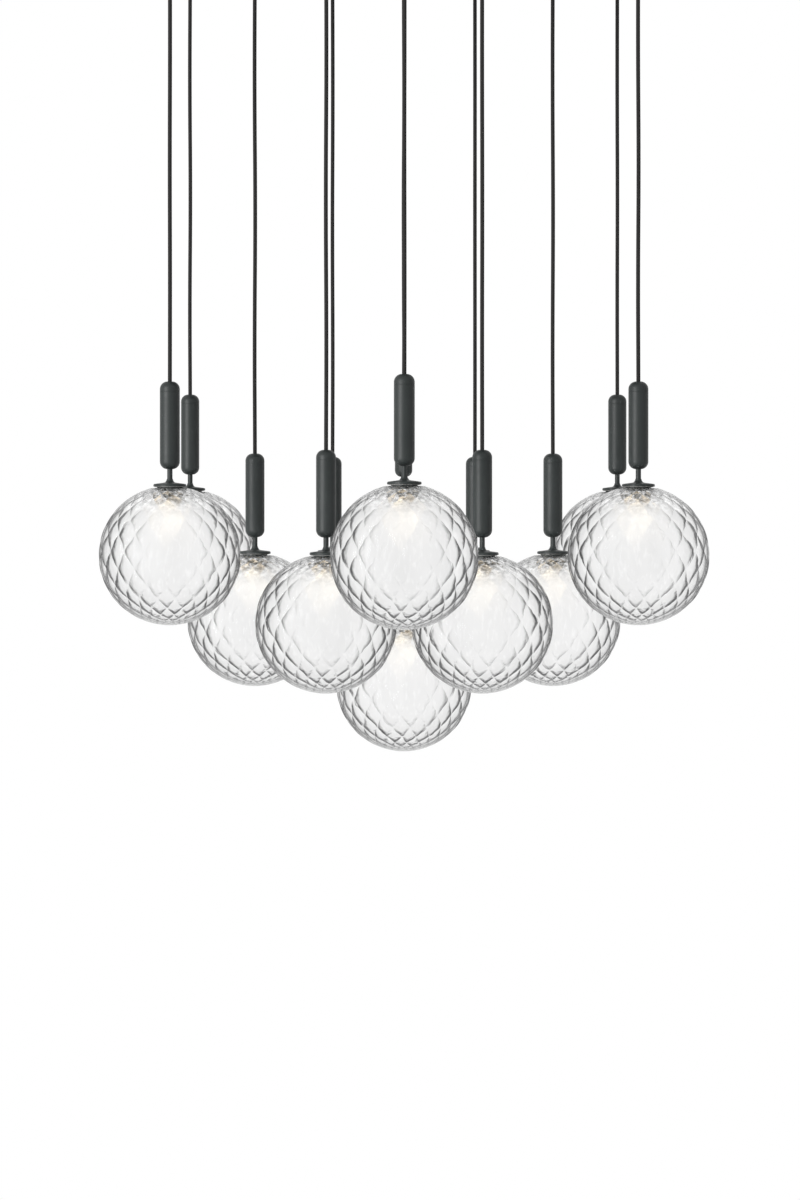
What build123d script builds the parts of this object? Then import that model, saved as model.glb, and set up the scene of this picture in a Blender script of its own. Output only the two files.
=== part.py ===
from build123d import *
import math
import os

# A cluster pendant: lamps with round glass globes hang on textile cords from one
# flat round canopy, in three rings, each lower than the ring outside it.
# Millimetres, Z up. The ceiling is z = 0 and the canopy's axis is the Z axis.

# Layout, seen from below: a triangular grid of lamps, in two rings about the centre one
LAMP_SPACING = 152.0
LEVEL_STEP = 66.5
OUTER_HOLDER_DROP = 500.4

# Canopy: a sheet-metal pan, open at the top, that hangs on studs of a ceiling plate
CANOPY_DIAMETER = 580.0
CANOPY_HEIGHT = 35.0
CANOPY_SHEET = 1.5
CANOPY_EDGE_RADIUS = 4.0
CANOPY_BORDER = 26.7283
PLATE_DIAMETER = 220.0
PLATE_SHEET = 2.0
CEILING_SCREW_CIRCLE = 170.0
CEILING_SCREW_HOLE = 6.0
CABLE_HOLE = 30.0
FIXINGS = 3
STUD_DIAMETER = 5.0
STUD_THREAD_BELOW = 7.0
CAP_NUT_DIAMETER = 12.0
CAP_NUT_HEIGHT = 9.0
CAP_NUT_ROUNDING = 3.0

# Terminal block, under the ceiling plate beside the cable hole
TERMINAL_LENGTH = 46.0
TERMINAL_WIDTH = 20.0
TERMINAL_HEIGHT = 18.0
TERMINAL_OFFSET = 40.0
TERMINAL_POLES = 3
TERMINAL_PITCH = 13.0
TERMINAL_SCREW = 5.0
TERMINAL_WIRE_HOLE = 4.0

# Cord grips, one for each cord: a collar under the pan and a threaded shank through it
GRIP_DIAMETER = 14.0
GRIP_HEIGHT = 12.0
GRIP_ROUNDING = 1.0
GRIP_THREAD = 10.0
GRIP_SHANK = 10.0
GRIP_MOUTH_DEPTH = 4.0
GRIP_NUT_WIDTH = 14.0
GRIP_NUT_HEIGHT = 3.5

# Cord
CORD_DIAMETER = 4.0
CORD_INSIDE_HOLDER = 16.0

# Lamp holder: a slim capsule with a screwed top cap, a stem and a round neck disc
HOLDER_DIAMETER = 19.4
HOLDER_LENGTH = 85.4
HOLDER_WALL = 1.5
HOLDER_FLOOR = 4.0
HOLDER_END_RADIUS = 7.5
HOLDER_CAP_HEIGHT = 10.0
HOLDER_CAP_TOP = 3.0
HOLDER_CAP_SPIGOT = 6.0
HOLDER_CAP_WALL = 1.2
CLAMP_DIAMETER = 11.0
CLAMP_LENGTH = 10.0
STEM_DIAMETER = 5.2
STEM_BORE = 3.0
STEM_VISIBLE = 9.3
DISC_DIAMETER = 32.0
DISC_RIM = 2.6
DISC_RIM_ROUNDING = 1.2
DISC_DOME = 1.4
HUB_DIAMETER = 10.0
HUB_HEIGHT = 3.6
SPIGOT_WALL = 1.6
SPIGOT_LENGTH = 8.0
GASKET_THICKNESS = 0.5
SOCKET_DIAMETER = 17.6
SOCKET_LENGTH = 19.0
SOCKET_RECESS = 10.0

# Capsule bulb, plugged into the socket from below
BULB_DIAMETER = 13.6
BULB_LENGTH = 29.0
BULB_BASE_DIAMETER = 10.6

# Glass globe: a sphere with a flat top and a round mouth in it
GLOBE_DIAMETER = 140.0
GLOBE_WALL = 3.0
GLOBE_MOUTH = 26.0
GLOBE_FLAT = 44.0
GLOBE_SHOULDER_ROUNDING = 2.0

# How far a cord can lean outward, which sets how wide the grips' mouths open
SWING_OUT_DEGREES = 15.0
SWING_SPARE_DEGREES = 1.0

# Clearances
RUNNING_CLEARANCE = 0.3
THREAD_CLEARANCE = 0.1

# Places that follow from the sizes; the outer ring of cords lies a border's width inside
# the canopy's edge
OUTER_RING = CANOPY_DIAMETER / 2 - CANOPY_BORDER
PAN_FLOOR_TOP = -CANOPY_HEIGHT + CANOPY_SHEET
GRIP_BOTTOM = -CANOPY_HEIGHT - GRIP_HEIGHT
SWING_Z = GRIP_BOTTOM + GRIP_MOUTH_DEPTH
PASSAGE_RADIUS = CORD_DIAMETER / 2 + RUNNING_CLEARANCE
STUD_CIRCLE = 2 * LAMP_SPACING / math.sqrt(3)
GRIP_HOLE_RADIUS = GRIP_THREAD / 2 + THREAD_CLEARANCE
STUD_HOLE_RADIUS = STUD_DIAMETER / 2 + RUNNING_CLEARANCE
MOUTH_RADIUS = GLOBE_MOUTH / 2
GLOBE_TOP = math.sqrt((GLOBE_DIAMETER / 2) ** 2 - (GLOBE_FLAT / 2) ** 2)
DISC_UNDERSIDE = -HOLDER_LENGTH - STEM_VISIBLE - HUB_HEIGHT - DISC_DOME - DISC_RIM
GLOBE_CENTRE = DISC_UNDERSIDE - GASKET_THICKNESS - GLOBE_TOP
SPIGOT_RADIUS = MOUTH_RADIUS - RUNNING_CLEARANCE

BELOW = (Align.CENTER, Align.CENTER, Align.MAX)
ABOVE = (Align.CENTER, Align.CENTER, Align.MIN)


def lamp_places():
    """The lamps' number, x, y and level: the centre first, then the rings outward."""
    places = [(0.0, 0.0, 2)]
    rings = ((LAMP_SPACING, 0.0, 1), (OUTER_RING, 30.0, 0))
    for radius, first_angle, level in rings:
        for step in range(6):
            angle = math.radians(first_angle + 60.0 * step)
            places.append((radius * math.cos(angle), radius * math.sin(angle), level))
    return [(f"{i + 1:02d}", x, y, level) for i, (x, y, level) in enumerate(places)]


def holder_top(level):
    """The height of a holder's top; level 0 is the outer ring, and 2 the centre lamp."""
    return -OUTER_HOLDER_DROP - LEVEL_STEP * level


def on_circle(diameter, first_angle, count=FIXINGS):
    """Points spaced evenly on a circle about the canopy's axis."""
    for step in range(count):
        angle = math.radians(first_angle + 360.0 * step / count)
        yield diameter / 2 * math.cos(angle), diameter / 2 * math.sin(angle)


def rod(radius, bottom, top):
    """An upright cylinder between two heights."""
    return Pos(0, 0, bottom) * Cylinder(radius, top - bottom, align=ABOVE)


def turned(*corners):
    """A solid of revolution about Z from the corners of its half section (r, z)."""
    section = make_face(Plane.XZ * Polyline(*corners, close=True))
    return revolve(section, Axis.Z)


def ends(solid, top):
    """The edges at a solid's top or bottom."""
    return solid.edges().group_by(Axis.Z)[-1 if top else 0]


# Canopy

def canopy_pan():
    radius = CANOPY_DIAMETER / 2
    outside = rod(radius, -CANOPY_HEIGHT, 0)
    outside = fillet(ends(outside, top=False), CANOPY_EDGE_RADIUS)
    inside = rod(radius - CANOPY_SHEET, PAN_FLOOR_TOP, 0)
    inside = fillet(ends(inside, top=False), CANOPY_EDGE_RADIUS - CANOPY_SHEET)
    pan = outside - inside
    holes = [Pos(x, y, 0) * rod(GRIP_HOLE_RADIUS, -CANOPY_HEIGHT, 0) for _, x, y, _ in lamp_places()]
    holes += [Pos(x, y, 0) * rod(STUD_HOLE_RADIUS, -CANOPY_HEIGHT, 0)
              for x, y in on_circle(STUD_CIRCLE, 30)]
    return pan - holes


def ceiling_plate():
    plate = rod(PLATE_DIAMETER / 2, -PLATE_SHEET, 0) - rod(CABLE_HOLE / 2, -PLATE_SHEET, 0)
    hole = rod(CEILING_SCREW_HOLE / 2, -PLATE_SHEET, 0)
    return plate - [Pos(x, y, 0) * hole for x, y in on_circle(CEILING_SCREW_CIRCLE, 90)]


def plate_studs():
    stud = rod(STUD_DIAMETER / 2, -CANOPY_HEIGHT - STUD_THREAD_BELOW, -PLATE_SHEET)
    return [Pos(x, y, 0) * stud for x, y in on_circle(STUD_CIRCLE, 30)]


def cap_nuts():
    nut = rod(CAP_NUT_DIAMETER / 2, -CANOPY_HEIGHT - CAP_NUT_HEIGHT, -CANOPY_HEIGHT)
    nut = fillet(ends(nut, top=False), CAP_NUT_ROUNDING)
    bore_bottom = -CANOPY_HEIGHT - STUD_THREAD_BELOW - THREAD_CLEARANCE
    nut -= rod(STUD_DIAMETER / 2 + THREAD_CLEARANCE, bore_bottom, -CANOPY_HEIGHT)
    return [Pos(x, y, 0) * nut for x, y in on_circle(STUD_CIRCLE, 30)]


def terminal_places():
    first = -TERMINAL_PITCH * (TERMINAL_POLES - 1) / 2
    return [first + TERMINAL_PITCH * pole for pole in range(TERMINAL_POLES)]


def terminal_block():
    place = Pos(0, -TERMINAL_OFFSET, -PLATE_SHEET)
    block = place * Box(TERMINAL_LENGTH, TERMINAL_WIDTH, TERMINAL_HEIGHT, align=BELOW)
    for x in terminal_places():
        wire_z = -PLATE_SHEET - TERMINAL_HEIGHT / 2
        wire_way = Cylinder(TERMINAL_WIRE_HOLE / 2, TERMINAL_WIDTH, rotation=(90, 0, 0))
        block -= Pos(x, -TERMINAL_OFFSET, wire_z) * wire_way
        screw_bore = rod(TERMINAL_SCREW / 2 + THREAD_CLEARANCE, -TERMINAL_HEIGHT / 2, 0)
        block -= Pos(x, -TERMINAL_OFFSET, -PLATE_SHEET - TERMINAL_HEIGHT / 2) * screw_bore
    return block


def terminal_screws():
    head = -PLATE_SHEET - TERMINAL_HEIGHT
    point = -PLATE_SHEET - TERMINAL_HEIGHT / 2 - TERMINAL_WIRE_HOLE / 2
    screw = rod(TERMINAL_SCREW / 2, head, point)
    slot = Pos(0, 0, head) * Box(TERMINAL_SCREW, TERMINAL_SCREW / 5, TERMINAL_SCREW / 5, align=ABOVE)
    return [Pos(x, -TERMINAL_OFFSET, 0) * (screw - slot) for x in terminal_places()]


def cord_grip():
    """A grip, with a mouth that opens as a cone, so that the cord can lean in it."""
    collar = rod(GRIP_DIAMETER / 2, GRIP_BOTTOM, -CANOPY_HEIGHT)
    collar = fillet(ends(collar, top=False), GRIP_ROUNDING)
    grip = collar + rod(GRIP_THREAD / 2 - THREAD_CLEARANCE, -CANOPY_HEIGHT, PAN_FLOOR_TOP + GRIP_SHANK)
    grip -= rod(PASSAGE_RADIUS, GRIP_BOTTOM, PAN_FLOOR_TOP + GRIP_SHANK)
    lean = math.radians(SWING_OUT_DEGREES + SWING_SPARE_DEGREES)
    cone_top = PASSAGE_RADIUS * math.tan(lean / 2)
    cone_height = cone_top + GRIP_MOUTH_DEPTH
    mouth = turned((0, SWING_Z + cone_top), (PASSAGE_RADIUS, SWING_Z + cone_top),
                   (PASSAGE_RADIUS + cone_height * math.tan(lean), GRIP_BOTTOM), (0, GRIP_BOTTOM))
    return grip - mouth


def grip_nut():
    hexagon = RegularPolygon(GRIP_NUT_WIDTH / 2, 6, major_radius=False)
    nut = Pos(0, 0, PAN_FLOOR_TOP) * extrude(hexagon, GRIP_NUT_HEIGHT)
    return nut - rod(GRIP_THREAD / 2, PAN_FLOOR_TOP, PAN_FLOOR_TOP + GRIP_NUT_HEIGHT)


# One lamp, drawn with the top of its holder at z = 0

def cord(level):
    """The free cord from its grip down into the holder; its round top leans in the grip."""
    top = SWING_Z - holder_top(level)
    return rod(CORD_DIAMETER / 2, -CORD_INSIDE_HOLDER, top) + Pos(0, 0, top) * Sphere(CORD_DIAMETER / 2)


def holder_cap():
    cap = rod(HOLDER_DIAMETER / 2, -HOLDER_CAP_HEIGHT, 0)
    cap = fillet(ends(cap, top=True), HOLDER_END_RADIUS)
    spigot_radius = HOLDER_DIAMETER / 2 - HOLDER_WALL - THREAD_CLEARANCE
    spigot_bottom = -HOLDER_CAP_HEIGHT - HOLDER_CAP_SPIGOT
    cap += rod(spigot_radius, spigot_bottom, -HOLDER_CAP_HEIGHT)
    cap -= rod(spigot_radius - HOLDER_CAP_WALL, spigot_bottom, -HOLDER_CAP_TOP)
    return cap - rod(PASSAGE_RADIUS, -HOLDER_CAP_TOP, 0)


def cord_clamp():
    clamp = rod(CLAMP_DIAMETER / 2, -HOLDER_CAP_TOP - CLAMP_LENGTH, -HOLDER_CAP_TOP)
    return clamp - rod(PASSAGE_RADIUS, -HOLDER_CAP_TOP - CLAMP_LENGTH, -HOLDER_CAP_TOP)


def holder_body():
    body = rod(HOLDER_DIAMETER / 2, -HOLDER_LENGTH, -HOLDER_CAP_HEIGHT)
    body = fillet(ends(body, top=False), HOLDER_END_RADIUS)
    inner_radius = HOLDER_DIAMETER / 2 - HOLDER_WALL
    hollow = rod(inner_radius, -HOLDER_LENGTH + HOLDER_FLOOR, -HOLDER_CAP_HEIGHT)
    hollow = fillet(ends(hollow, top=False), HOLDER_END_RADIUS - HOLDER_WALL)
    return body - hollow - rod(STEM_DIAMETER / 2 + THREAD_CLEARANCE, -HOLDER_LENGTH, -HOLDER_CAP_HEIGHT)


def stem():
    """The hollow rod that the wires run through, from the holder's floor to the disc."""
    tube = rod(STEM_DIAMETER / 2, DISC_UNDERSIDE, -HOLDER_LENGTH + HOLDER_FLOOR)
    return tube - rod(STEM_BORE / 2, DISC_UNDERSIDE, -HOLDER_LENGTH + HOLDER_FLOOR)


def neck_disc():
    """The round cap on the globe: a rim, a shallow dome, a hub and a threaded spigot."""
    rim = rod(DISC_DIAMETER / 2, DISC_UNDERSIDE, DISC_UNDERSIDE + DISC_RIM)
    rim = fillet(ends(rim, top=True), DISC_RIM_ROUNDING)
    rim_top = DISC_UNDERSIDE + DISC_RIM
    dome_top = rim_top + DISC_DOME
    hub = turned((0, rim_top), (DISC_DIAMETER / 2 - DISC_RIM_ROUNDING, rim_top),
                 (HUB_DIAMETER / 2, dome_top), (STEM_DIAMETER / 2 + THREAD_CLEARANCE, dome_top + HUB_HEIGHT),
                 (0, dome_top + HUB_HEIGHT))
    spigot = rod(SPIGOT_RADIUS, DISC_UNDERSIDE - SPIGOT_LENGTH, DISC_UNDERSIDE)
    spigot -= rod(SPIGOT_RADIUS - SPIGOT_WALL, DISC_UNDERSIDE - SPIGOT_LENGTH, DISC_UNDERSIDE)
    disc = rim + hub + spigot
    return disc - rod(STEM_DIAMETER / 2 + THREAD_CLEARANCE, DISC_UNDERSIDE, dome_top + HUB_HEIGHT)


def gasket():
    """The ring that lies on the glass around its mouth, under the neck disc."""
    bottom = DISC_UNDERSIDE - GASKET_THICKNESS
    ring = rod(DISC_DIAMETER / 2 - DISC_RIM_ROUNDING, bottom, DISC_UNDERSIDE)
    return ring - rod(MOUTH_RADIUS + THREAD_CLEARANCE, bottom, DISC_UNDERSIDE)


def socket():
    """The ceramic lampholder under the disc, with the recess that takes the bulb's base."""
    bottom = DISC_UNDERSIDE - SOCKET_LENGTH
    body = rod(SOCKET_DIAMETER / 2, bottom, DISC_UNDERSIDE)
    return body - rod(BULB_BASE_DIAMETER / 2 + RUNNING_CLEARANCE, bottom, bottom + SOCKET_RECESS)


def bulb():
    """A capsule bulb: a base up in the socket and a glass envelope with a round end."""
    top = DISC_UNDERSIDE - SOCKET_LENGTH
    base = rod(BULB_BASE_DIAMETER / 2, top - RUNNING_CLEARANCE, top + SOCKET_RECESS - RUNNING_CLEARANCE)
    radius = BULB_DIAMETER / 2
    envelope = rod(radius, top - RUNNING_CLEARANCE - BULB_LENGTH + radius, top - RUNNING_CLEARANCE)
    return base + envelope + Pos(0, 0, top - RUNNING_CLEARANCE - BULB_LENGTH + radius) * Sphere(radius)


def globe():
    """The glass: a spherical shell, flat on top, with a mouth for the disc's spigot."""
    radius = GLOBE_DIAMETER / 2
    glass = Sphere(radius) & Pos(0, 0, GLOBE_TOP) * Box(3 * radius, 3 * radius, 3 * radius, align=BELOW)
    glass = fillet(ends(glass, top=True), GLOBE_SHOULDER_ROUNDING)
    ceiling = GLOBE_TOP - GLOBE_WALL
    hollow = Sphere(radius - GLOBE_WALL)
    hollow &= Pos(0, 0, ceiling) * Box(3 * radius, 3 * radius, 3 * radius, align=BELOW)
    glass -= hollow
    glass -= rod(MOUTH_RADIUS, 0, GLOBE_TOP)
    return Pos(0, 0, GLOBE_CENTRE) * glass


def save(name, solids):
    """Writes one named piece, or one group of like pieces, as a STEP file."""
    group = solids if isinstance(solids, list) else [solids]
    loose = [solid for shape in group for solid in shape.solids()]
    shape = loose[0] if len(loose) == 1 else Compound(children=loose)
    shape.label = name
    export_step(shape, f"parts/{name}.step")


def main():
    os.makedirs("parts", exist_ok=True)
    save("canopy_pan", canopy_pan())
    save("ceiling_plate", ceiling_plate())
    save("plate_studs", plate_studs())
    save("cap_nuts", cap_nuts())
    save("terminal_block", terminal_block())
    save("terminal_screws", terminal_screws())
    save("cord_grips", [Pos(x, y, 0) * cord_grip() for _, x, y, _ in lamp_places()])
    save("grip_nuts", [Pos(x, y, 0) * grip_nut() for _, x, y, _ in lamp_places()])

    holder = [holder_cap(), cord_clamp(), holder_body(), stem(), neck_disc(), socket()]
    lamp_bulb, glass = bulb(), [globe(), gasket()]
    for number, x, y, level in lamp_places():
        place = Pos(x, y, holder_top(level))
        save(f"cord_{number}", place * cord(level))
        save(f"holder_{number}", [place * piece for piece in holder])
        save(f"bulb_{number}", place * lamp_bulb)
        save(f"globe_{number}", [place * piece for piece in glass])


main()
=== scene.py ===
import math

import bmesh
import bpy
from bpy.props import FloatProperty, FloatVectorProperty, IntProperty, PointerProperty
from bpy.types import Operator, Panel, PropertyGroup
from mathutils import Matrix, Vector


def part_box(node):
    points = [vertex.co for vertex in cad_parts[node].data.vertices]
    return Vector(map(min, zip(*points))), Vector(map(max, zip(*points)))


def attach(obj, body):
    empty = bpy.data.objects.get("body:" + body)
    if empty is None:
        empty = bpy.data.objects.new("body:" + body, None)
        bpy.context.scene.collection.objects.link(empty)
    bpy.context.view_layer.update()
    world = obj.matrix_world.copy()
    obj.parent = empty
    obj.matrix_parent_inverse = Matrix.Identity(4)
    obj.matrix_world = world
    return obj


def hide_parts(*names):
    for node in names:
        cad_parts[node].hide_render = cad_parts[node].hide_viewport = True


bl_info = {
    "name": "Cluster Pendant",
    "version": (1, 0, 0),
    "blender": (4, 5, 0),
    "location": "3D View > Sidebar > Pendant",
    "description": "Dresses a cluster pendant: glass globes, lamp holders, textile cords and canopy",
    "category": "Add Mesh",
}

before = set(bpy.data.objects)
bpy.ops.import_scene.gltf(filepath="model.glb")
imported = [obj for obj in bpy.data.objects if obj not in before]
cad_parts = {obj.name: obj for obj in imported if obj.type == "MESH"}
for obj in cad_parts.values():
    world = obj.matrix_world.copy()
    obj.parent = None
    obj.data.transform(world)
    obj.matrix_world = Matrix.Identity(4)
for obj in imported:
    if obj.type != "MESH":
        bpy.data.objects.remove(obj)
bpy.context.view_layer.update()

# Places and heights of the lamps, read from the frame. Every lamp is modelled with the top of
# its holder at height 0 and then copied to each place.
NUMBERS = sorted(n[5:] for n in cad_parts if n.startswith("cord_") and n[5:].isdigit())


def lamp_place(number):
    """The point at the middle of a holder's top."""
    low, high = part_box(f"holder_{number}")
    return ((low.x + high.x) / 2, (low.y + high.y) / 2, high.z)


PLACES = {number: lamp_place(number) for number in NUMBERS}
HOLDER_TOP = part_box("holder_01")[1].z
GLOBE_LOW, GLOBE_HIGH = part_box("globe_01")
BULB_LOW, BULB_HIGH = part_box("bulb_01")
GASKET_THICKNESS = 0.0005
GLOBE_REACH = (GLOBE_HIGH.x - GLOBE_LOW.x) / 2
GLOBE_CENTRE = GLOBE_LOW.z + GLOBE_REACH - HOLDER_TOP
GLASS_TOP = GLOBE_HIGH.z - GASKET_THICKNESS - HOLDER_TOP
DISC_UNDERSIDE = GLOBE_HIGH.z - HOLDER_TOP

GLASS_WALL = 0.003
WIRE_BORE = 0.0015  # radius of the wires' way through stem and lampholder
SHARP_EDGE = math.radians(32)  # edges of turned pieces that are sharper than this stay sharp

# The points of every cord: the share of its length, and how far it strays there from a straight
# line, after the slight waves that the photographed cords show. Each cord strays to
# another side than the one before it.
ROUTE = ((0.0, 0.0), (0.05, 0.0), (0.27, 1.0), (0.52, -0.8), (0.76, 0.9), (0.96, 0.0), (1.0, 0.0))
GOLDEN_ANGLE = math.radians(137.5)


# Sizes and colours that a user would change

def length(name, default, words):
    return FloatProperty(name=name, description=words, default=default, unit="LENGTH", precision=5)


def colour(name, default, words):
    return FloatVectorProperty(name=name, description=words, default=default, subtype="COLOR",
                               size=3, min=0, max=1)


class GlobeSizes(PropertyGroup):
    """The glass globes, their diamonds and their light"""
    radius: length("Radius", 0.0691, "From the globe's centre to the crossings of its grooves")
    inner_radius: length("Inner Radius", GLOBE_REACH - GLASS_WALL, "Radius of the smooth inside")
    mouth: length("Mouth Radius", 0.013, "Radius of the hole in the flat top")
    cells: IntProperty(name="Diamonds Around", description="Diamonds in one row around the globe",
                       default=20)
    half_row: FloatProperty(name="Half Row", description="Half a diamond's height, on a Mercator scale",
                            default=0.253)
    first_row: FloatProperty(name="First Row", description="Latitude of the first row of crossings",
                             default=math.radians(3.7), subtype="ANGLE")
    turn: FloatProperty(name="Turn", description="Turn of the crossings from the front of the globe",
                        default=math.radians(3.2), subtype="ANGLE")
    relief: FloatProperty(name="Relief", description="How far the diamonds swell, 1 for a smooth sphere",
                          default=1.8)
    # painted glow: the inside of each globe gives light of its own
    painted_inside_glow: FloatProperty(name="Inside Glow", description="Strength of the light spread by the inside",
                               default=0.61, min=0)
    bulb_glow: FloatProperty(name="Bulb Glow", description="Strength of a bulb's light over its middle",
                             default=1.9, min=0)


class HolderSizes(PropertyGroup):
    """The capsule holders with their stems and discs"""
    radius: length("Radius", 0.0097, "Radius of the capsule")
    end_radius: length("End Radius", 0.0075, "Rounding of the capsule's two ends")
    length: length("Length", 0.0854, "Height of the capsule")
    seam: length("Seam", 0.010, "Depth of the cap's seam below the top")
    stem_radius: length("Stem Radius", 0.0026, "Radius of the stem under the capsule")
    disc_radius: length("Disc Radius", 0.016, "Radius of the neck disc")


class CordSizes(PropertyGroup):
    """The hanging textile cords"""
    diameter: length("Diameter", 0.004, "Diameter over the braid")
    inside_holder: length("Inside Holder", 0.016, "Length of cord that runs down inside the holder")
    grip_height: length("Grip Height", -0.043, "Height of the point where a cord leaves its grip")
    wave: length("Wave", 0.0006, "How far a hanging cord strays from a straight line")


class Colours(PropertyGroup):
    """The colours of paint, yarn, glass, metal and floor"""
    paint: colour("Paint", (0.023, 0.0275, 0.027), "Satin paint of the holders and the canopy")
    paint_worn: colour("Paint Light", (0.029, 0.0340, 0.0335), "Lighter patches in the paint")
    yarn: colour("Yarn", (0.018, 0.0176, 0.0172), "Textile braid of the cords")
    yarn_light: colour("Yarn Light", (0.038, 0.0365, 0.035), "Lighter threads of the braid")
    # painted shade: the dark lines in the grooves and round the outline, where the glass is seen aslant
    groove: colour("Groove", (0.002, 0.002, 0.0022), "Dark lines along the grooves of the glass")
    # painted refraction: the dark lampholder and spigot seen through the glass round the neck
    mark: colour("Mark", (0.075, 0.064, 0.042), "Crinkles of the glass round the neck")
    # painted shade: the colour that the glass is darkened towards where it is seen edge on
    rim: colour("Rim", (0.012, 0.0125, 0.013), "Glass seen edge on")
    mirror: colour("Mirror", (0.12, 0.125, 0.13), "Tint of the reflections in the glass")
    glow: colour("Glow", (1.0, 0.80, 0.55), "Light of the bulbs")
    ceramic: colour("Ceramic", (0.40, 0.32, 0.21), "Lampholders inside the globes")
    rubber: colour("Rubber", (0.30, 0.30, 0.29), "Gaskets between glass and disc")
    zinc: colour("Zinc", (0.55, 0.56, 0.58), "Plated ceiling plate and studs")
    brass: colour("Brass", (0.66, 0.47, 0.20), "Nuts and terminal screws")
    plastic: colour("Plastic", (0.72, 0.71, 0.67), "Terminal block")
    floor: colour("Floor", (0.86, 0.86, 0.86), "Pale floor")


class StageSizes(PropertyGroup):
    """The camera, the lights and the floor"""
    camera: FloatVectorProperty(name="Camera", description="Place of the camera", size=3,
                                subtype="TRANSLATION", default=(-0.004, -2.85, -0.645))
    lens: FloatProperty(name="Lens", description="Focal length in millimetres", default=83.79, min=1)
    shift: FloatProperty(name="Shift", description="Vertical shift of the lens", default=-0.0583)
    floor: length("Floor", -4.6, "Height of the floor")
    floor_radius: length("Floor Radius", 40, "Radius of the round floor")
    key: FloatProperty(name="Key", description="Power of the key light", default=150, unit="POWER")
    fill: FloatProperty(name="Fill", description="Power of the fill light", default=1, unit="POWER")
    sky: FloatProperty(name="Sky", description="Strength of the soft light from all sides", default=0.23)


GROUPS = {"pendant_globe": GlobeSizes, "pendant_holder": HolderSizes, "pendant_cord": CordSizes,
          "pendant_colours": Colours, "pendant_stage": StageSizes}


# Modelling helpers

def deselect():
    """Leaves edit mode, with nothing selected."""
    if bpy.context.object and bpy.context.object.mode != "OBJECT":
        bpy.ops.object.mode_set(mode="OBJECT")
    bpy.ops.object.select_all(action="DESELECT")


def choose(*objects):
    """Selects the objects and nothing else, and makes the first the active one."""
    deselect()
    for each in objects:
        each.select_set(True)
    bpy.context.view_layer.objects.active = objects[0]


def pick_edges(test):
    """Selects the edges that pass a test, and nothing else, in edit mode."""
    bpy.ops.mesh.select_all(action="DESELECT")
    bpy.ops.mesh.select_mode(type="EDGE")
    mesh = bpy.context.edit_object.data
    shape = bmesh.from_edit_mesh(mesh)
    for edge in shape.edges:
        if test(edge):
            edge.select_set(True)
    shape.select_flush_mode()
    bmesh.update_edit_mesh(mesh)


def open_edge(edge):
    return edge.is_boundary


def arc(centre_r, centre_z, radius, start, end, steps):
    """Points (radius, height) on an arc of a profile, with its angles in degrees from outward to up."""
    angles = [math.radians(start + (end - start) * k / steps) for k in range(steps + 1)]
    return [(centre_r + radius * math.cos(a), centre_z + radius * math.sin(a)) for a in angles]


def turned(name, profile, sides=64, ring=True):
    """A turned piece: a circle, extruded and scaled from each point of its profile to the next.

    A ring's last loop is bridged to its first; the ends of any other piece are filled.
    """
    radius, height = profile[0]
    deselect()
    bpy.ops.mesh.primitive_circle_add(vertices=sides, radius=radius, location=(0, 0, height))
    piece = bpy.context.object
    piece.name = piece.data.name = name
    bpy.ops.object.transform_apply(location=True, rotation=True, scale=True)
    bpy.ops.object.mode_set(mode="EDIT")
    bpy.ops.mesh.select_all(action="SELECT")
    for next_radius, next_height in profile[1:]:
        bpy.ops.mesh.extrude_edges_move(TRANSFORM_OT_translate={"value": (0, 0, next_height - height)})
        scale = next_radius / radius
        bpy.ops.transform.resize(value=(scale, scale, 1), center_override=(0, 0, 0))
        radius, height = next_radius, next_height
    if ring:
        pick_edges(open_edge)
        bpy.ops.mesh.bridge_edge_loops()
    else:
        bpy.ops.mesh.select_all(action="SELECT")
        bpy.ops.mesh.fill_holes(sides=0)
    bpy.ops.mesh.select_all(action="SELECT")
    bpy.ops.mesh.normals_make_consistent(inside=False)
    bpy.ops.object.mode_set(mode="OBJECT")
    choose(piece)
    bpy.ops.object.shade_smooth_by_angle(angle=SHARP_EDGE)
    return piece


def at_lamps(master, name, body, replaced, turns=None):
    """Copies a piece, modelled at the origin, to every lamp, each with its own mesh."""
    for number in NUMBERS:
        choose(master)
        bpy.ops.object.duplicate(linked=False)
        piece = bpy.context.object
        piece.name = piece.data.name = f"{name}_{number}"
        if turns:
            piece.rotation_euler = (0, 0, turns[number])
        piece.location = PLACES[number]
        bpy.ops.object.transform_apply(location=True, rotation=True, scale=True)
        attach(piece, f"{body}_{number}")
        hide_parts(f"{replaced}_{number}")
    bpy.data.objects.remove(master)


# Material helpers

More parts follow.
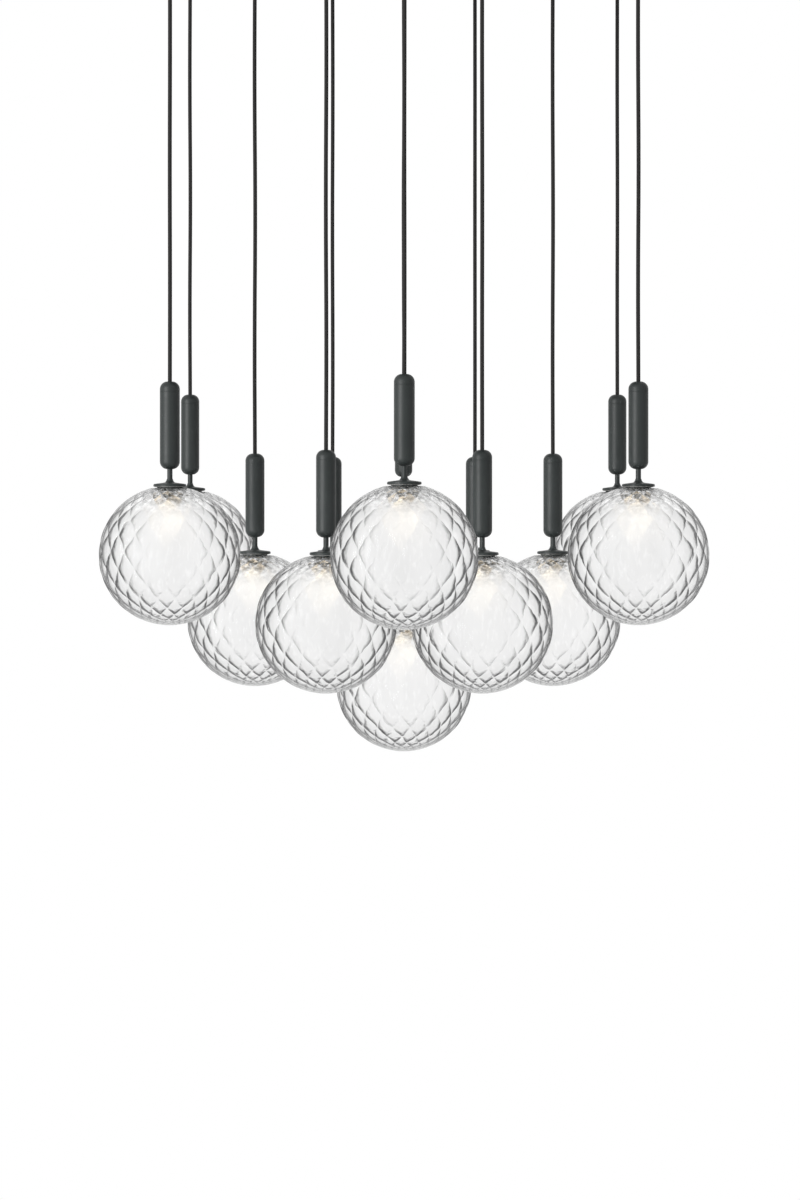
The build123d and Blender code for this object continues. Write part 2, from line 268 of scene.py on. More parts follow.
class Finish:
    """A new material, with short ways to add and link its nodes."""

    def __init__(self, name, **values):
        self.material = bpy.data.materials.new(name)
        self.material.use_nodes = True
        self.nodes, self.links = self.material.node_tree.nodes, self.material.node_tree.links
        self.shader = self.nodes["Principled BSDF"]
        for key, value in values.items():
            self.shader.inputs[key.replace("_", " ")].default_value = value

    def add(self, kind, settings=None, **values):
        """Adds a node with its settings, and with a value or a link for each socket named."""
        node = self.nodes.new("ShaderNode" + kind)
        for key, value in (settings or {}).items():
            setattr(node, key, value)
        for key, value in values.items():
            socket = node.inputs[key.replace("_", " ")]
            if isinstance(value, bpy.types.NodeSocket):
                self.links.new(value, socket)
            else:
                socket.default_value = value
        return node

    def noise(self, scale, detail=3.0, stretch=None):
        """Noise over the object's own coordinates, which stretch scales along each axis."""
        where = self.add("TexCoord").outputs["Object"]
        if stretch:
            where = self.add("Mapping", Vector=where, Scale=stretch).outputs[0]
        return self.add("TexNoise", Vector=where, Scale=scale, Detail=detail).outputs["Fac"]

    def between(self, factor, low, high, start=0.0, end=1.0):
        """A number from low to high as the factor goes from start to end."""
        ranged = self.add("MapRange", Value=factor)
        for key, value in (("From Min", start), ("From Max", end), ("To Min", low), ("To Max", high)):
            ranged.inputs[key].default_value = value
        return ranged.outputs[0]

    def mix(self, factor, first, second):
        """A colour between two others, on the node's own colour sockets."""
        node = self.nodes.new("ShaderNodeMix")
        node.data_type = "RGBA"
        sockets = (node.inputs["Factor"], node.inputs[6], node.inputs[7])
        for socket, value in zip(sockets, (factor, first, second)):
            if isinstance(value, bpy.types.NodeSocket):
                self.links.new(value, socket)
            else:
                socket.default_value = value if isinstance(value, float) else (*value, 1)
        return node.outputs[2]

    def maths(self, operation, first, second=0.0):
        node = self.nodes.new("ShaderNodeMath")
        node.operation = operation
        for socket, value in zip(node.inputs, (first, second)):
            if isinstance(value, bpy.types.NodeSocket):
                self.links.new(value, socket)
            else:
                socket.default_value = value
        return node.outputs[0]

    def product(self, *factors):
        """All the factors multiplied together."""
        result = factors[0]
        for factor in factors[1:]:
            result = self.maths("MULTIPLY", result, factor)
        return result

    def bump(self, height, distance, strength=1.0):
        node = self.add("Bump", Height=height, Distance=distance, Strength=strength)
        self.links.new(node.outputs[0], self.shader.inputs["Normal"])

    def set(self, **sockets):
        """Links the shader's sockets, and gives the finished material."""
        for key, value in sockets.items():
            self.links.new(value, self.shader.inputs[key.replace("_", " ")])
        return self.material


def colours():
    return bpy.context.scene.pendant_colours


def satin_paint(name, rough=(0.42, 0.49)):
    """Powder paint: faint patches, a fine orange peel and a little unevenness in its gloss."""
    look = Finish(name, IOR=1.4, Specular_IOR_Level=0.4)
    patches = look.noise(22, detail=4)
    look.bump(look.noise(1300, detail=2), 0.00006, 0.5)
    return look.set(
        Base_Color=look.mix(look.between(patches, 0, 1, 0.35, 0.65), colours().paint, colours().paint_worn),
        Roughness=look.between(look.noise(160), *rough, 0.3, 0.7))


def cord_textile():
    """A braid of two sets of threads, crossing as they run round the cord, with lighter fibres."""
    look = Finish("cord_textile", Sheen_Weight=0.04, Sheen_Roughness=0.6, Specular_IOR_Level=0.2)
    place = look.add("SeparateXYZ", Vector=look.add("TexCoord").outputs["UV"])
    along, around = place.outputs[0], place.outputs[1]
    stitches_along, threads_around, fibre_share = 150.0, 8.0, 0.4
    steps = look.product(along, stitches_along)
    turn = look.product(around, threads_around)
    threads = []
    for way in (1.0, -1.0):
        slant = look.maths("ADD", steps, look.product(turn, way))
        wave = look.maths("SINE", look.product(slant, math.tau))
        threads.append(look.between(wave, 0.0, 1.0, -1.0, 1.0))
    braid = look.maths("MAXIMUM", *threads)
    fibres = look.noise(2600, detail=2)
    look.bump(look.maths("ADD", braid, look.product(fibres, fibre_share)), 0.00022, 0.8)
    raised = look.product(look.between(braid, 0.1, 0.9, 0.4, 1.0), fibres)
    return look.set(
        Base_Color=look.mix(raised, colours().yarn, colours().yarn_light),
        Roughness=look.between(fibres, 0.75, 0.95))


class GlobeGlass(Finish):
    """Clear pressed glass: each diamond swells from its grooves, with painted shade where it is seen edge
    on.

    The parts of the look are masks, from 0 where one does nothing to 1 where it works fully.
    Rows count the half diamonds up from the first row of crossings.
    """

    def __init__(self):
        super().__init__("globe_glass", IOR=1.38, Transmission_Weight=1.0,
                         Specular_Tint=(*colours().mirror, 1), Emission_Color=(1, 1, 1, 1))
        chart = self.add("SeparateXYZ", Vector=self.add("TexCoord").outputs["UV"])
        self.grooves = self.near_grooves(chart.outputs[0], chart.outputs[1])
        self.row = self.maths("SUBTRACT", chart.outputs[1], chart.outputs[0])
        near_top = self.between(self.row, 0.0, 1.0, 2.2, 5.0)
        near_bottom = self.between(self.row, 0.0, 1.0, -3.0, -6.5)
        self.near_poles = self.maths("MAXIMUM", near_top, near_bottom)
        swelling = self.swelling()
        self.bump(swelling, 0.0009)
        # how far the swollen diamonds and the globe turn away from the eye, and the diamonds beyond it
        swollen = self.add("Bump", Height=swelling, Distance=0.0026).outputs[0]
        self.tilted = self.add("LayerWeight", Blend=0.5, Normal=swollen).outputs["Facing"]
        self.edge_on = self.add("LayerWeight", Blend=0.5).outputs["Facing"]
        self.leaning = self.maths("SUBTRACT", self.tilted, self.product(self.edge_on, 0.58))
        self.seen_aside = self.maths("SUBTRACT", self.edge_on, self.between(self.row, 0.0, 0.3, 1.0, 3.5))
        self.outside = self.maths("SUBTRACT", 1.0, self.add("NewGeometry").outputs["Backfacing"])

    def near_grooves(self, *ways):
        """For each way that the grooves run, 1 on a groove and 0 midway to the next, a little uneven."""
        wobble = self.between(self.noise(48, detail=3), -0.13, 0.13, 0.3, 0.7)
        near = []
        for across in ways:
            away = self.maths("PINGPONG", self.maths("ADD", across, wobble), 0.5)
            near.append(self.maths("SUBTRACT", 1.0, self.product(away, 2.0)))
        return near

    def swelling(self):
        """The height of the glass: round diamonds, slight ripples, and crinkles near the poles."""
        swells = [self.maths("SUBTRACT", 1.0, self.maths("POWER", near, 2.6)) for near in self.grooves]
        crinkles = self.product(self.noise(260, detail=2), self.between(self.near_poles, 0.05, 1.0))
        ripples = self.product(self.noise(80, detail=3, stretch=(1, 1, 0.4)), 0.28)
        return self.maths("ADD", self.maths("ADD", self.product(*swells), ripples), crinkles)

    def painted_flank_shade(self):
        """Painted shade on the diamonds' flanks that turn away from the eye, stronger towards the globe's
        outline.
        """
        return self.product(self.between(self.tilted, 0.0, 1.0, 0.25, 0.80),
                            self.between(self.leaning, 0.0, 1.0, 0.03, 0.30),
                            self.between(self.seen_aside, 0.06, 1.0, 0.06, 0.38), self.outside)

    def painted_veil_shade(self):
        """Painted grey shade towards the outline, where the wall is looked through aslant."""
        aslant_shade = self.maths("ADD", self.between(self.edge_on, 0.0, 0.40, 0.16, 0.58),
                          self.between(self.edge_on, 0.0, 0.42, 0.54, 0.68))
        return self.product(aslant_shade, self.between(self.near_poles, 1.0, 0.5), self.outside)

    def painted_shoulder_shade(self):
        """Painted grey shade in patches on the globe's shoulders, fainter where the glass faces the eye."""
        return self.product(self.between(self.noise(240, detail=4), 0.26, 0.68, 0.42, 0.60),
                            self.between(self.row, 0.0, 1.0, 2.0, 3.8),
                            self.between(self.edge_on, 0.25, 1.0, 0.04, 0.20), self.outside)

    def painted_groove_lines(self):
        """Painted shade: a thin dark line in each groove, wider and darker towards the outline, and a
        painted dark outline.
        """
        widening = self.product(self.maths("POWER", self.edge_on, 1.5), 0.75)
        nearest = self.maths("ADD", self.maths("MAXIMUM", *self.grooves), widening)
        steep = self.between(self.tilted, 0.0, 1.0, 0.40, 0.72)
        steep.node.interpolation_type = "SMOOTHSTEP"
        line = self.product(steep, self.between(nearest, 0.0, 1.0, 0.70, 0.97),
                            self.between(self.seen_aside, 0.03, 1.0, 0.15, 0.50),
                            self.between(self.near_poles, 1.0, 0.28),
                            self.between(self.noise(70, detail=2), 0.45, 1.0, 0.38, 0.56))
        outline = self.product(self.between(self.edge_on, 0.0, 1.0, 0.60, 0.74),
                               self.between(self.near_poles, 1.0, 0.45))
        return self.product(self.maths("MAXIMUM", line, outline), self.outside)

    def painted_neck_refraction(self):
        """Painted refraction: dark crinkles under the neck in place of the lampholder and spigot seen
        through the glass, fainter beside the neck and where it is seen from above.
        """
        beside_neck = self.maths("SUBTRACT", self.edge_on, self.between(self.row, 0.21, 0.50, 2.6, 5.0))
        return self.product(self.between(self.noise(290, detail=3), 0.0, 0.97, 0.47, 0.56),
                            self.between(self.row, 0.0, 1.0, 2.7, 4.6),
                            self.between(beside_neck, 1.0, 0.15, 0.03, 0.11),
                            self.between(beside_neck, 0.15, 1.0, -0.20, -0.05), self.outside)

    def painted_gleam(self):
        """Painted highlight: the flanks turned to the eye more than the globe is, some way in from the
        outline, give a faint light of their own.
        """
        return self.product(self.between(self.leaning, 1.0, 0.0, -0.10, -0.02),
                            self.between(self.edge_on, 0.0, 1.0, 0.12, 0.40), self.outside,
                            self.between(self.edge_on, 1.0, 0.0, 0.42, 0.60))

    def finished(self):
        streaks = self.noise(330, detail=2, stretch=(1, 1, 0.28))
        body = self.mix(self.between(streaks, 0, 1, 0.52, 0.72), (0.90, 0.90, 0.90), (1.0, 1.0, 1.0))
        # painted refraction of the lampholder and spigot round the neck
        body = self.mix(self.painted_neck_refraction(), body, colours().mark)
        # painted shade: the flanks, the haze towards the outline and the shoulders darken the glass
        shade = self.maths("MAXIMUM", self.maths("MAXIMUM", self.painted_flank_shade(), self.painted_veil_shade()), self.painted_shoulder_shade())
        shaded = self.mix(shade, body, colours().rim)
        # painted shade: dark lines in the grooves and a dark outline
        return self.set(Base_Color=self.mix(self.painted_groove_lines(), shaded, colours().groove),
                        Roughness=self.between(streaks, 0.02, 0.05, 0.3, 0.7),
                        # painted highlight: a faint emission on the flanks that face the eye
                        Emission_Strength=self.product(self.painted_gleam(), 0.07))


def frosted_inside():
    """The smooth inside of the globe, milky and clear round the neck, with a painted glow: it gives light of
    its own in place of the bulb's light that the frost spreads.
    """
    look = Finish("globe_inside", IOR=1.38, Transmission_Weight=1.0)
    height = look.add("SeparateXYZ", Vector=look.add("TexCoord").outputs["UV"]).outputs[1]
    uneven = look.between(look.noise(120, detail=2), -0.03, 0.03, 0.3, 0.7)
    clear = look.between(look.maths("ADD", height, uneven), 0.0, 1.0, 0.72, 0.83)
    streaks = look.between(look.noise(18, detail=3, stretch=(3.2, 3.2, 0.7)), 0.0, 1.0, 0.3, 0.7)
    # dark frost lets little through, so that the painted glow sets how bright the inside looks
    frost = look.mix(streaks, (0.13, 0.13, 0.13), (0.16, 0.16, 0.16))
    look.bump(look.noise(700, detail=2), 0.00004, 0.5)
    return look.set(
        Base_Color=look.mix(clear, frost, (0.97, 0.97, 0.97)),
        Emission_Color=look.mix(streaks, (0.965, 0.965, 0.965), (1.0, 1.0, 0.998)),
        # painted glow, weaker in the clear zone round the neck
        Emission_Strength=look.between(clear, bpy.context.scene.pendant_globe.painted_inside_glow, 0.22),
        Roughness=look.between(clear, 0.74, 0.12))


def bulb_glow():
    """Frosted warm white glass, brightest over its middle."""
    look = Finish("bulb_glow")
    height = look.add("SeparateXYZ", Vector=look.add("TexCoord").outputs["UV"]).outputs[1]
    away = look.maths("ABSOLUTE", look.maths("SUBTRACT", height, 0.20))
    middle = look.between(away, 1.0, 0.0, 0.0, 0.5)
    look.bump(look.noise(900, detail=2), 0.00003, 0.5)
    return look.set(
        Base_Color=look.mix(middle, (0.60, 0.55, 0.44), (0.64, 0.59, 0.49)),
        Emission_Color=look.mix(middle, colours().glow, (1.0, 0.91, 0.74)),
        Emission_Strength=look.between(middle, 0.2, bpy.context.scene.pendant_globe.bulb_glow),
        Roughness=look.between(look.noise(240), 0.30, 0.42, 0.3, 0.7))


def plain(name, shade, light, scale, rough, bumps, **values):
    """A finish with two close shades, uneven gloss, and bumps of a noise scale and a height."""
    look = Finish(name, **values)
    patches = look.noise(scale, detail=4)
    look.bump(look.noise(bumps[0], detail=2), bumps[1], 0.6)
    return look.set(
        Base_Color=look.mix(look.between(patches, 0, 1, 0.3, 0.7), shade, light),
        Roughness=look.between(look.noise(scale * 5), *rough, 0.3, 0.7))


def toned(shade, factor):
    """A lighter or darker tone of a colour."""
    return tuple(min(1.0, part * factor) for part in shade)


# Operators: the stage first, then the cords, the lamps and the canopy

class PENDANT_OT_stage(Operator):
    """Set the camera, the lights, the pale surroundings and the floor"""
    bl_idname = "pendant.stage"
    bl_label = "Stage"

    def execute(self, context):
        sizes = context.scene.pendant_stage
        context.scene.view_settings.view_transform = "Standard"
        self.camera(context, sizes)
        self.light("key_light", place=(-2.5, -2.6, -0.3), turn=(88, 0, -44), size=(1.7, 3.0),
                   power=sizes.key)
        self.light("fill_light", place=(2.6, -2.0, -0.2), turn=(84, 0, 52), size=(1.6, 2.2),
                   power=sizes.fill)
        self.surroundings(context, sizes)
        self.floor(sizes)
        return {"FINISHED"}

    def camera(self, context, sizes):
        deselect()
        bpy.ops.object.camera_add(location=sizes.camera, rotation=(math.radians(90), 0, 0))
        camera = context.object
        camera.name = "camera"
        camera.data.lens, camera.data.sensor_width = sizes.lens, 36
        camera.data.shift_y = sizes.shift
        context.scene.camera = camera

    def light(self, name, place, turn, size, power):
        deselect()
        bpy.ops.object.light_add(type="AREA", location=place, rotation=[math.radians(a) for a in turn])
        light = bpy.context.object
        light.name = name
        light.data.shape = "RECTANGLE"
        light.data.size, light.data.size_y = size
        light.data.energy = power
        # the globes refract the pale room and not the lamp's bright panel
        light.visible_transmission = False

    def background_share(self, nodes, links):
        """1 for rays that see the background: the camera's, mirrored and refracted ones."""
        rays = nodes.new("ShaderNodeLightPath")
        share = rays.outputs["Is Camera Ray"]
        for kind in ("Is Glossy Ray", "Is Transmission Ray"):
            either = nodes.new("ShaderNodeMath")
            either.operation = "MAXIMUM"
            links.new(share, either.inputs[0])
            links.new(rays.outputs[kind], either.inputs[1])
            share = either.outputs[0]
        return share

    def surroundings(self, context, sizes):
        world = bpy.data.worlds.new("pale_room")
        context.scene.world = world
        world.use_nodes = True
        nodes, links = world.node_tree.nodes, world.node_tree.links
        strength = nodes.new("ShaderNodeMapRange")
        strength.inputs["To Min"].default_value = sizes.sky
        strength.inputs["To Max"].default_value = 1.0
        links.new(self.background_share(nodes, links), strength.inputs["Value"])
        nodes["Background"].inputs["Color"].default_value = (1, 1, 1, 1)
        links.new(strength.outputs[0], nodes["Background"].inputs["Strength"])

    def floor(self, sizes):
        """A pale floor that keeps the shadow near the object and fades into the white room."""
        deselect()
        bpy.ops.mesh.primitive_circle_add(vertices=96, radius=sizes.floor_radius, fill_type="NGON",
                                          location=(0, 0, sizes.floor))
        floor = bpy.context.object
        floor.name = "floor"
        bpy.ops.object.transform_apply(location=True, rotation=True, scale=True)
        look = Finish("floor", Roughness=0.8)
        grain = look.noise(6, detail=5)
        pale = colours().floor
        look.set(Base_Color=look.mix(look.between(grain, 0, 1, 0.3, 0.7), toned(pale, 0.985), pale))
        where = look.add("TexCoord").outputs["Object"]
        distance = look.add("VectorMath", {"operation": "LENGTH"}, Vector=where).outputs["Value"]
        fade_start, fade_end, white_near = 2.5, 7.0, 0.7
        share = look.product(self.background_share(look.nodes, look.links),
                             look.between(distance, white_near, 1.0, fade_start, fade_end))
        white = look.add("Emission", Color=(1, 1, 1, 1), Strength=1.0)
        both = look.add("MixShader")
        look.links.new(share, both.inputs[0])
        look.links.new(look.shader.outputs[0], both.inputs[1])
        look.links.new(white.outputs[0], both.inputs[2])
        look.links.new(both.outputs[0], look.nodes["Material Output"].inputs["Surface"])
        floor.data.materials.append(look.material)


class PENDANT_OT_cords(Operator):
    """Hang the textile cords from their grips down into the holders"""
    bl_idname = "pendant.cords"
    bl_label = "Cords"

    def execute(self, context):
        sizes = context.scene.pendant_cord
        textile = cord_textile()
        for count, number in enumerate(NUMBERS):
            x, y, holder_top = PLACES[number]
            top, bottom = sizes.grip_height, holder_top - sizes.inside_holder
            line = bpy.data.curves.new(f"textile_cord_{number}", "CURVE")
            line.dimensions = "3D"
            line.bevel_depth, line.bevel_resolution = sizes.diameter / 2, 6
            line.resolution_u, line.use_fill_caps = 24, True
            route = line.splines.new("NURBS")
            route.points.add(len(ROUTE) - 1)
            side = GOLDEN_ANGLE * count
            for point, (share, stray) in zip(route.points, ROUTE):
                point.co = (x + stray * sizes.wave * math.cos(side), y + stray * sizes.wave * math.sin(side),
                            top + (bottom - top) * share, 1)
            route.order_u = 3
            route.use_endpoint_u = True
            line.materials.append(textile)
            cord = bpy.data.objects.new(f"textile_cord_{number}", line)
            context.scene.collection.objects.link(cord)
            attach(cord, f"hanging_cord_{number}")
            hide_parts(f"cord_{number}")
        return {"FINISHED"}


class PENDANT_OT_globes(Operator):
    """Blow the round glass globes with their pressed diamonds"""
    bl_idname = "pendant.globes"
    bl_label = "Glass Globes"

    def execute(self, context):
        sizes = context.scene.pendant_globe
        globe = self.diamonds(sizes)
        self.swell(globe, sizes)
        self.map_diamonds(globe, sizes)
        self.mouth_and_inside(globe, sizes)
        globe.data.transform(Matrix.Translation((0, 0, GLOBE_CENTRE)))
        # clear glass casts no shadow on the lamps behind it
        globe.visible_shadow = False
        at_lamps(globe, "glass_globe", "lamp", "globe", self.turns(context, sizes))
        return {"FINISHED"}

    def turns(self, context, sizes):
        """Each globe is turned so that the same grooves face the front of the room."""
        camera = context.scene.pendant_stage.camera
        return {number: -math.atan2(x - camera[0], y - camera[1]) - sizes.turn
                for number, (x, y, _) in PLACES.items()}

    def latitude(self, mercator):
        return 2 * math.atan(math.exp(mercator)) - math.pi / 2

    def mercator(self, latitude):
        return math.log(math.tan(math.pi / 4 + latitude / 2))

    def top_latitude(self, sizes):
        return math.asin((GLASS_TOP - GLOBE_CENTRE) / sizes.radius)

    def diamonds(self, sizes):
        """A net of diamonds: rows of squares on a sphere, poked, with the squares' own edges removed."""
        first, top = self.mercator(sizes.first_row), self.top_latitude(sizes)
        rows_below, rows_above, least_gap = 6, 3, 0.02
        rows = [self.latitude(first + 2 * sizes.half_row * k) for k in range(-rows_below, rows_above + 1)]
        rows = [row for row in rows if row < top - least_gap] + [top]
        latitude = rows[0]
        deselect()
        bpy.ops.mesh.primitive_circle_add(
            vertices=sizes.cells, radius=sizes.radius * math.cos(latitude), fill_type="NGON",
            location=(0, 0, sizes.radius * math.sin(latitude)))
        globe = bpy.context.object
        globe.name = "glass_globe"
        bpy.ops.object.transform_apply(location=True, rotation=True, scale=True)
        bpy.ops.object.mode_set(mode="EDIT")
        pick_edges(lambda edge: True)
        for row in rows[1:]:
            rise = sizes.radius * (math.sin(row) - math.sin(latitude))
            bpy.ops.mesh.extrude_edges_move(TRANSFORM_OT_translate={"value": (0, 0, rise)})
            scale = math.cos(row) / math.cos(latitude)
            bpy.ops.transform.resize(value=(scale, scale, 1), center_override=(0, 0, 0))
            latitude = row
        bpy.ops.mesh.select_all(action="SELECT")
        bpy.ops.mesh.mark_seam(clear=False)
        bpy.ops.mesh.poke()
        pick_edges(lambda edge: edge.seam and not edge.is_boundary)
        bpy.ops.mesh.dissolve_edges(use_verts=False)
        bpy.ops.mesh.select_all(action="SELECT")
        bpy.ops.mesh.mark_seam(clear=True)
        bpy.ops.mesh.normals_make_consistent(inside=False)
        bpy.ops.object.mode_set(mode="OBJECT")
        return globe

    def cast(self, globe, radius, factor):
        sphere = globe.modifiers.new("sphere", "CAST")
        sphere.cast_type, sphere.size, sphere.radius, sphere.factor = "SPHERE", radius, 0, factor
        bpy.ops.object.modifier_apply(modifier=sphere.name)

    def swell(self, globe, sizes):
        """Puts the crossings on the sphere, and swells each diamond out between its grooves."""
        choose(globe)
        self.cast(globe, sizes.radius, 1)
        finer = globe.modifiers.new("finer", "SUBSURF")
        finer.subdivision_type = "SIMPLE"
        finer.levels = finer.render_levels = 3
        bpy.ops.object.modifier_apply(modifier=finer.name)
        self.cast(globe, sizes.radius, sizes.relief)

    def map_diamonds(self, globe, sizes):
        """A map of the diamonds: the grooves run where either coordinate is a whole number."""
        half_cell, first = math.pi / sizes.cells, self.mercator(sizes.first_row)
        # just short of the poles, where the map would never end
        steepest = 0.9999
        mesh = globe.data
        chart = mesh.uv_layers.active or mesh.uv_layers.new(name="diamonds")
        for face in mesh.polygons:
            middle = math.atan2(face.center.x, face.center.y)
            for corner in face.loop_indices:
                point = mesh.vertices[mesh.loops[corner].vertex_index].co
                bearing = math.atan2(point.x, point.y)
                bearing += math.tau * round((middle - bearing) / math.tau)
                latitude = math.asin(max(-steepest, min(steepest, point.z / point.length)))
                around = bearing / half_cell / 2
                up = (self.mercator(latitude) - first) / sizes.half_row / 2
                chart.data[corner].uv = (around - up, around + up)

    def mouth_and_inside(self, globe, sizes):
        """The flat top with its mouth, and the smooth inside, bridged at the mouth's lower edge."""
        top, wall = GLASS_TOP - GLOBE_CENTRE, GLOBE_REACH - sizes.inner_radius
        bpy.ops.object.mode_set(mode="EDIT")
        pick_edges(open_edge)
        bpy.ops.mesh.extrude_edges_move(TRANSFORM_OT_translate={"value": (0, 0, 0)})
        scale = sizes.mouth / math.sqrt(sizes.radius ** 2 - top ** 2)
        bpy.ops.transform.resize(value=(scale, scale, 1), center_override=(0, 0, 0))
        bpy.ops.mesh.extrude_edges_move(TRANSFORM_OT_translate={"value": (0, 0, -wall)})
        bpy.ops.object.mode_set(mode="OBJECT")
        deselect()
        bpy.ops.mesh.primitive_uv_sphere_add(segments=80, ring_count=48, radius=sizes.inner_radius)
        inside = bpy.context.object
        bpy.ops.object.mode_set(mode="EDIT")
        bpy.ops.mesh.select_all(action="SELECT")
        bpy.ops.mesh.bisect(plane_co=(0, 0, top - wall), plane_no=(0, 0, 1), clear_outer=True)
        bpy.ops.mesh.select_all(action="SELECT")
        bpy.ops.mesh.flip_normals()
        bpy.ops.object.mode_set(mode="OBJECT")
        glass, frost = GlobeGlass().finished(), frosted_inside()
        globe.data.materials.append(glass)
        globe.data.materials.append(frost)
        inside.data.materials.append(frost)
        choose(globe, inside)
        bpy.ops.object.join()
        bpy.ops.object.mode_set(mode="EDIT")
        pick_edges(open_edge)
        bpy.ops.mesh.bridge_edge_loops()
        bpy.ops.object.mode_set(mode="OBJECT")
        choose(globe)
        # sharp along the grooves, smooth over the diamonds
        bpy.ops.object.shade_smooth_by_angle(angle=math.radians(5))


class PENDANT_OT_gaskets(Operator):
    """Lay the rubber rings between the globes and the neck discs"""
    bl_idname = "pendant.gaskets"
    bl_label = "Gaskets"

    def execute(self, context):
        top, bottom, outer, inner, soft = DISC_UNDERSIDE, GLASS_TOP, 0.0148, 0.0131, 0.00012
        ring = turned("gasket", [(inner, bottom), (inner, top), (outer - soft, top), (outer, top - soft),
                                 (outer, bottom + soft), (outer - soft, bottom)])
        rubber = colours().rubber
        ring.data.materials.append(plain("gasket_rubber", rubber, toned(rubber, 1.15), 60, (0.5, 0.65),
                                         (900, 0.00005)))
        at_lamps(ring, "gasket", "lamp", "globe")
        return {"FINISHED"}


class PENDANT_OT_holders(Operator):
    """Turn the capsule holders with their screwed caps"""
    bl_idname = "pendant.holders"
    bl_label = "Holders"

    def execute(self, context):
        sizes = context.scene.pendant_holder
        paint = satin_paint("holder_paint")
        radius, end, seam, groove = sizes.radius, sizes.end_radius, sizes.seam, 0.00018
        wall, cord_hole, ceiling = radius - 0.0015, 0.0023, -0.003
        skirt = wall - 0.0013
        cap = [(cord_hole, ceiling), (cord_hole, -0.0005)] + arc(radius - end, -end, end, 88, 0, 14)
        cap += [(radius, -seam + groove), (radius - groove, -seam), (skirt, -seam), (skirt, ceiling)]
        cap = turned("holder_cap", cap)
        bottom = -sizes.length
        stem_hole, floor = sizes.stem_radius + 0.0001, bottom + 0.004
        body = [(radius - groove, -seam), (radius, -seam - groove), (radius, bottom + end)]
        body += arc(radius - end, bottom + end, end, -6, -86, 14)
        body += [(stem_hole, bottom), (stem_hole, floor), (wall - 0.003, floor),
                 (wall, bottom + end), (wall, -seam)]
        body = turned("holder_body", body)
        for piece in (cap, body):
            piece.data.materials.append(paint)
            at_lamps(piece, piece.name, "lamp", "holder")
        return {"FINISHED"}


class PENDANT_OT_necks(Operator):
    """Turn the stems and the neck discs with their threaded spigots"""
    bl_idname = "pendant.necks"
    bl_label = "Stems and Discs"

    def execute(self, context):
        sizes = context.scene.pendant_holder
        paint = satin_paint("neck_paint")
        under, soft = DISC_UNDERSIDE, 0.0003
        stem_top, stem_radius, disc = 0.004 - sizes.length, sizes.stem_radius, sizes.disc_radius
        stem = turned("stem", [(WIRE_BORE, stem_top), (stem_radius - soft, stem_top),
                               (stem_radius, stem_top - soft), (stem_radius, under), (WIRE_BORE, under)],
                      sides=40)
        rim_top, dome_top, rim_round = under + 0.0026, under + 0.0040, 0.0012
        hub_top, hub = dome_top + 0.0036, stem_radius + 0.0001
        # the hub with its flared foot, the dome and the round rim
        outline = [(hub, under), (hub, hub_top), (hub + 0.00035, hub_top - 0.0002),
                   (0.0031, hub_top - 0.0010), (0.0035, hub_top - 0.0019), (0.0041, hub_top - 0.0028),
                   (0.0050, dome_top), (0.0070, dome_top - 0.00035), (0.0105, dome_top - 0.0008),
                   (0.0135, rim_top + 0.0002)]
        outline += arc(disc - rim_round, rim_top - rim_round, rim_round, 80, 0, 6)
        outline += [(disc, under + soft), (disc - soft, under)]
        # the spigot under the disc, with its thread outside and its bore inside
        crest, root, pitch, ridges = 0.0127, 0.0123, 0.0014, 5
        outline += [(crest, under)]
        for ridge in range(ridges):
            start = under - pitch * ridge
            outline += [(crest, start - 0.0009), (root, start - 0.0012), (root, start - 0.0017),
                        (crest, start - 0.0020)]
        spigot_end, bore = under - 0.008, 0.0111
        outline += [(0.0124, spigot_end), (bore, spigot_end), (bore, under - 0.0002)]
        neck = turned("neck_disc", outline)
        for piece in (stem, neck):
            piece.data.materials.append(paint)
            at_lamps(piece, piece.name, "lamp", "holder")
        return {"FINISHED"}


class PENDANT_OT_lampholders(Operator):
    """Turn the ceramic lampholders under the discs"""
    bl_idname = "pendant.lampholders"
    bl_label = "Lampholders"

    def execute(self, context):
        top, bottom, radius, recess = DISC_UNDERSIDE - 0.0001, DISC_UNDERSIDE - 0.019, 0.0088, 0.0056
        soft, lip, recess_floor = 0.0008, 0.0006, bottom + 0.010
        # softened edges, and a groove round the waist between 7 and 10.2 mm down
        body = [(WIRE_BORE, top), (radius - soft, top), (radius, top - soft), (radius, top - 0.007),
                (radius - soft, top - 0.0078), (radius - soft, top - 0.0094), (radius, top - 0.0102),
                (radius, bottom + 0.001), (radius - 0.001, bottom), (recess + lip, bottom),
                (recess, bottom + lip), (recess, recess_floor), (WIRE_BORE, recess_floor)]
        body = turned("lampholder", body)
        ceramic = colours().ceramic
        body.data.materials.append(plain("ceramic", ceramic, toned(ceramic, 1.25), 90, (0.25, 0.4),
                                         (700, 0.00004), Coat_Weight=0.3, Coat_Roughness=0.15))
        at_lamps(body, "lampholder", "lamp", "holder")
        return {"FINISHED"}


class PENDANT_OT_bulbs(Operator):
    """Make the small capsule bulbs"""
    bl_idname = "pendant.bulbs"
    bl_label = "Bulbs"

    def execute(self, context):
        high, low, radius = BULB_HIGH.z - HOLDER_TOP, BULB_LOW.z - HOLDER_TOP, 0.0068
        base, neck = 0.0053, DISC_UNDERSIDE - 0.0193
        shape = [(base, high), (base, neck + 0.0004), (0.0057, neck), (radius - 0.0008, neck - 0.0001),
                 (radius, neck - 0.0012), (radius, low + radius)]
        shape += arc(0, low + radius, radius, -7, -84, 11)
        bulb = turned("bulb", shape, sides=48, ring=False)
        chart = bulb.data.uv_layers.active or bulb.data.uv_layers.new(name="heights")
        for loop in bulb.data.loops:
            rise = bulb.data.vertices[loop.vertex_index].co.z - low
            chart.data[loop.index].uv = (0.5, rise / (high - low))
        bulb.data.materials.append(bulb_glow())
        at_lamps(bulb, "bulb_capsule", "lamp", "bulb")
        return {"FINISHED"}


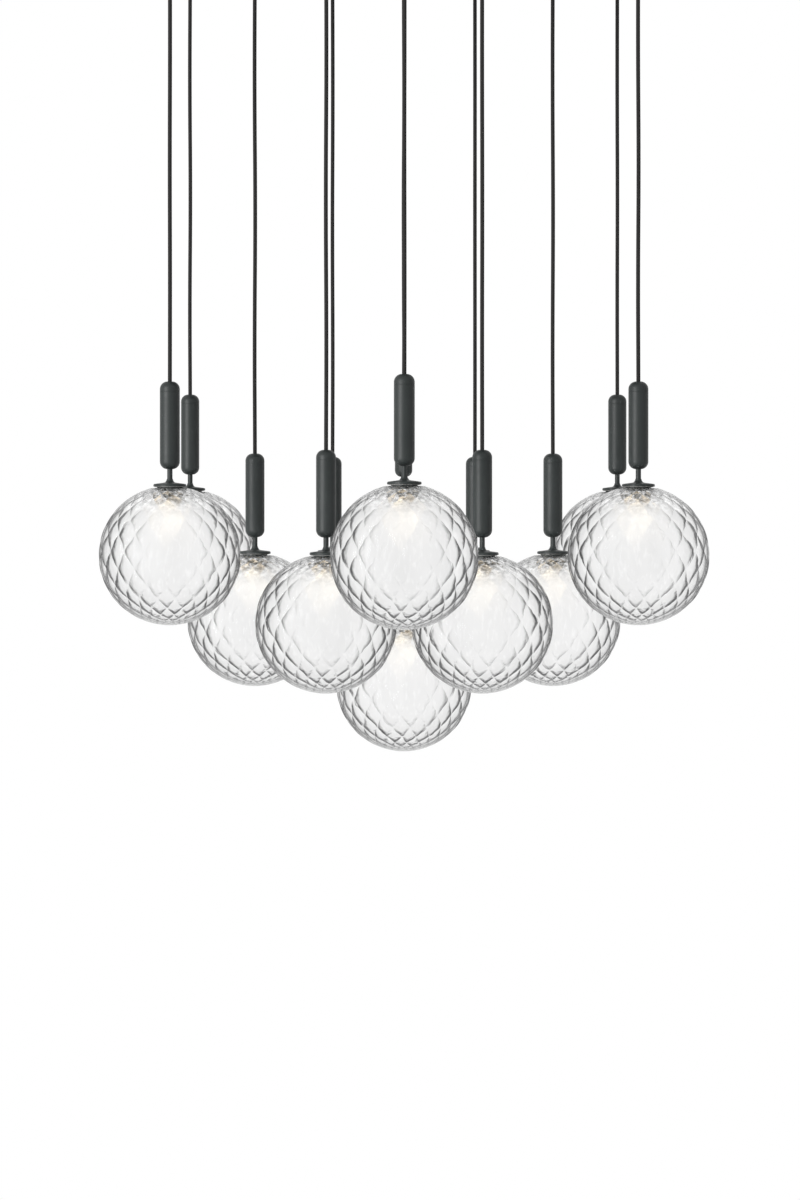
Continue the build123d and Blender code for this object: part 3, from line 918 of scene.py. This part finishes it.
class PENDANT_OT_canopy(Operator):
    """Finish the canopy, its plate, grips, nuts and terminal block"""
    bl_idname = "pendant.canopy"
    bl_label = "Canopy"

    def execute(self, context):
        shades = colours()
        zinc = plain("zinc_plate", shades.zinc, toned(shades.zinc, 1.2), 45, (0.3, 0.5),
                     (400, 0.00004), Metallic=1.0)
        brass = plain("brass", shades.brass, toned(shades.brass, 1.15), 80, (0.25, 0.4),
                      (500, 0.00003), Metallic=1.0)
        plastic = plain("terminal_plastic", shades.plastic, toned(shades.plastic, 1.05), 60, (0.4, 0.5),
                        (1200, 0.00003))
        paint = satin_paint("canopy_paint", (0.56, 0.64))
        finishes = {"canopy_pan": paint, "cap_nuts": paint, "cord_grips": paint,
                    "ceiling_plate": zinc, "plate_studs": zinc, "grip_nuts": brass,
                    "terminal_screws": brass, "terminal_block": plastic}
        for name, finish in finishes.items():
            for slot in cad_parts[name].material_slots:
                slot.material = finish
        return {"FINISHED"}


STEPS = (PENDANT_OT_stage, PENDANT_OT_cords, PENDANT_OT_globes, PENDANT_OT_gaskets, PENDANT_OT_holders,
         PENDANT_OT_necks, PENDANT_OT_lampholders, PENDANT_OT_bulbs, PENDANT_OT_canopy)


class PENDANT_PT_panel(Panel):
    """The pendant's steps, sizes and colours"""
    bl_idname = "PENDANT_PT_panel"
    bl_label = "Cluster Pendant"
    bl_space_type = "VIEW_3D"
    bl_region_type = "UI"
    bl_category = "Pendant"

    def draw(self, context):
        for step in STEPS:
            self.layout.operator(step.bl_idname)
        for name, group in GROUPS.items():
            box = self.layout.box()
            settings = getattr(context.scene, name)
            for setting in group.__annotations__:
                box.prop(settings, setting)


def register():
    for kind in (*GROUPS.values(), *STEPS, PENDANT_PT_panel):
        bpy.utils.register_class(kind)
    for name, group in GROUPS.items():
        setattr(bpy.types.Scene, name, PointerProperty(type=group))


def unregister():
    for name in GROUPS:
        delattr(bpy.types.Scene, name)
    for kind in (PENDANT_PT_panel, *reversed(STEPS), *reversed(GROUPS.values())):
        bpy.utils.unregister_class(kind)


def main():
    register()
    for step in STEPS:
        group, name = step.bl_idname.split(".")
        getattr(getattr(bpy.ops, group), name)()


if __name__ == "__main__":
    main()
